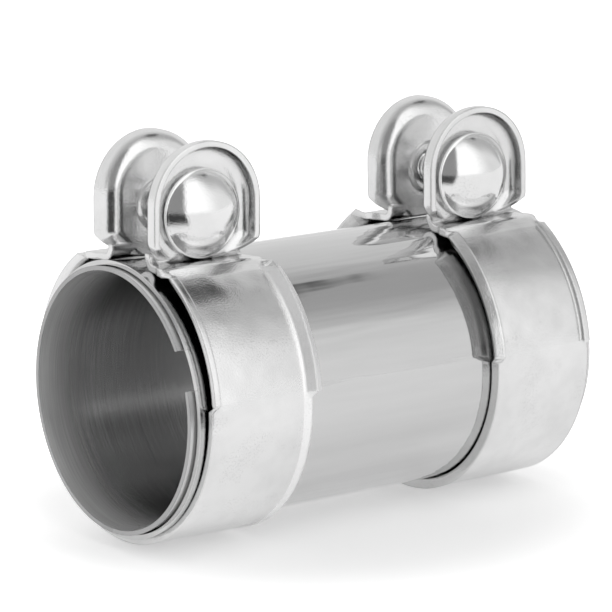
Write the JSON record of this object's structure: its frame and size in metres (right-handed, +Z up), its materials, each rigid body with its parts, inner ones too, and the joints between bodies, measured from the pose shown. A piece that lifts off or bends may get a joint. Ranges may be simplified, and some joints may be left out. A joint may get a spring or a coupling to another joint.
{
  "type": "exhaust pipe clamp",
  "caption": "Exhaust pipe connector: a double-walled split sleeve drawn tight by two hooded bands, each with a carriage bolt and nut.",
  "frame": {"origin": "centre of the pipe bore, midway between the sleeve's two mouths", "axes": "+X along the pipe, +Z up through the clamp ears, the bolt heads face -Y"},
  "size_m": [0.124, 0.0774, 0.0994],
  "materials": {
    "outer_sleeve_steel": "mirror polished stainless sheet",
    "inner_sleeve_steel": "rolled stainless sheet, finely brushed around",
    "plated_band": "zinc plated, satin with faint mottling",
    "plated_bolt": "bright zinc plated",
    "plated_fastener": "zinc plated, satin",
    "weld_metal": "as welded"
  },
  "bodies": {
    "connector": {"inner_sleeve": "inner_sleeve_steel", "outer_sleeve": "outer_sleeve_steel", "left_clamp_band": "plated_band", "left_carriage_bolt": "plated_bolt", "left_weld_plug": "weld_metal", "right_clamp_band": "plated_band", "right_carriage_bolt": "plated_bolt", "right_weld_plug": "weld_metal"},
    "left_washer_body": {"left_washer": "plated_fastener"},
    "left_nut_body": {"left_nut": "plated_fastener"},
    "right_washer_body": {"right_washer": "plated_fastener"},
    "right_nut_body": {"right_nut": "plated_fastener"}
  },
  "joints": [
    {"name": "left_nut_travel", "type": "slide", "parent": "connector", "child": "left_washer_body", "axis": [0, 1, 0], "range_m": [0, 0.01]},
    {"name": "left_nut_spin", "type": "hinge", "parent": "left_washer_body", "child": "left_nut_body", "pos_m": [-0.04197, 0, 0.04488], "axis": [0, 1, 0], "range_deg": [0, 2880]},
    {"name": "right_nut_travel", "type": "slide", "parent": "connector", "child": "right_washer_body", "axis": [0, 1, 0], "range_m": [0, 0.01]},
    {"name": "right_nut_spin", "type": "hinge", "parent": "right_washer_body", "child": "right_nut_body", "pos_m": [0.04197, 0, 0.04488], "axis": [0, 1, 0], "range_deg": [0, 2880]}
  ],
  "couplings": [
    {"joint": "left_nut_spin", "follows": "left_nut_travel", "rad_per_m": 5026.5},
    {"joint": "right_nut_spin", "follows": "right_nut_travel", "rad_per_m": 5026.5}
  ]
}
